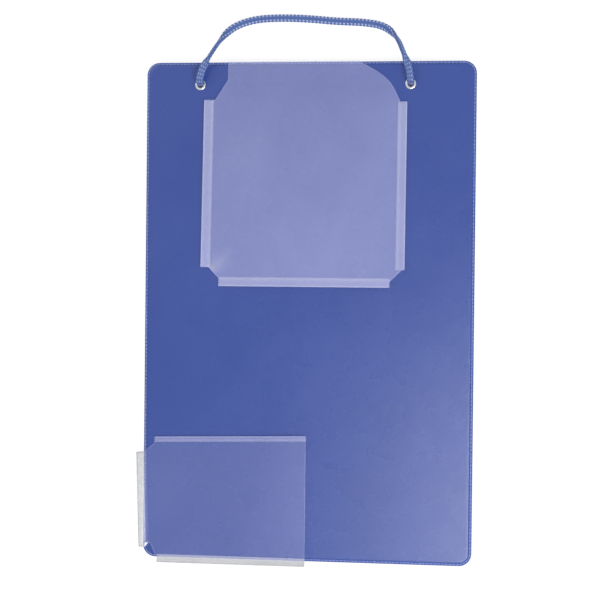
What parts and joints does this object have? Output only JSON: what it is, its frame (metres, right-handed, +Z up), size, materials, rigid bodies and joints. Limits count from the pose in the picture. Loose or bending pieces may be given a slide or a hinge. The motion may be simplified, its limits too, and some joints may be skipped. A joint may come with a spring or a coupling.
{
  "type": "clipboard",
  "caption": "Film-covered clipboard with a hanging cord through eyelets, clear gusseted key and card pockets on its back, and a flat spring clip on its writing side.",
  "frame": {"origin": "on the surface it lies on, under the centre of the board with its overhanging pocket film, measured without the cord", "axes": "+Z up, away from the board on its pocket side; +Y along the board towards its top edge and cord; +X to the right as seen from the pocket side"},
  "size_m": [0.2346, 0.3855, 0.0207],
  "materials": {
    "blue_cover": "embossed soft PVC film, satin",
    "core": "grey-brown stiff board",
    "clear_film": "clear soft PVC film, slightly hazy",
    "nickel": "nickel-plated, polished",
    "blue_cord": "braided polyester with light flecks",
    "clip_steel": "nickel-plated pressed steel",
    "pin_steel": "bright drawn steel",
    "spring_steel": "oiled spring wire"
  },
  "bodies": {
    "board": {"core_board": "core", "front_cover": "blue_cover", "back_cover": "blue_cover", "left_eyelet": "nickel", "right_eyelet": "nickel", "left_eyelet_washer": "nickel", "right_eyelet_washer": "nickel", "left_cord_end": "blue_cord", "right_cord_end": "blue_cord", "key_pocket_top_flap": "clear_film", "key_pocket_left_gusset": "clear_film", "key_pocket_right_gusset": "clear_film", "key_pocket_bottom_gusset": "clear_film", "card_pocket_top_gusset": "clear_film", "card_pocket_left_gusset": "clear_film", "card_pocket_bottom_gusset": "clear_film", "clip_base_plate": "clip_steel", "clip_hinge_pin": "pin_steel", "clip_rivets": "pin_steel", "clip_spring": "spring_steel"},
    "cord_loop": {"hanging_cord": "blue_cord"},
    "key_pocket": {"key_pocket_face": "clear_film"},
    "card_pocket": {"card_pocket_face": "clear_film"},
    "jaw": {"clip_jaw": "clip_steel"}
  },
  "joints": [
    {"name": "cord_lift", "type": "hinge", "parent": "board", "child": "cord_loop", "pos_m": [-0.00155, 0.1597, 0.014], "axis": [1, 0, 0], "range_deg": [0, 110]},
    {"name": "key_pocket_open", "type": "slide", "parent": "board", "child": "key_pocket", "axis": [0, 0, 1], "range_m": [-0.0044, 0.007], "stiffness_N_per_m": 300, "deforming": ["key_pocket_top_flap", "key_pocket_left_gusset", "key_pocket_right_gusset", "key_pocket_bottom_gusset"]},
    {"name": "card_pocket_open", "type": "slide", "parent": "board", "child": "card_pocket", "axis": [0, 0, 1], "range_m": [-0.0041, 0.004], "stiffness_N_per_m": 300, "deforming": ["card_pocket_top_gusset", "card_pocket_left_gusset", "card_pocket_bottom_gusset"]},
    {"name": "jaw_hinge", "type": "hinge", "parent": "board", "child": "jaw", "pos_m": [0.00195, 0.1547, 0.0038], "axis": [1, 0, 0], "range_deg": [0, 20], "stiffness_Nm_per_rad": 1.2, "springref_deg": -28.65, "deforming": ["clip_spring"]}
  ]
}
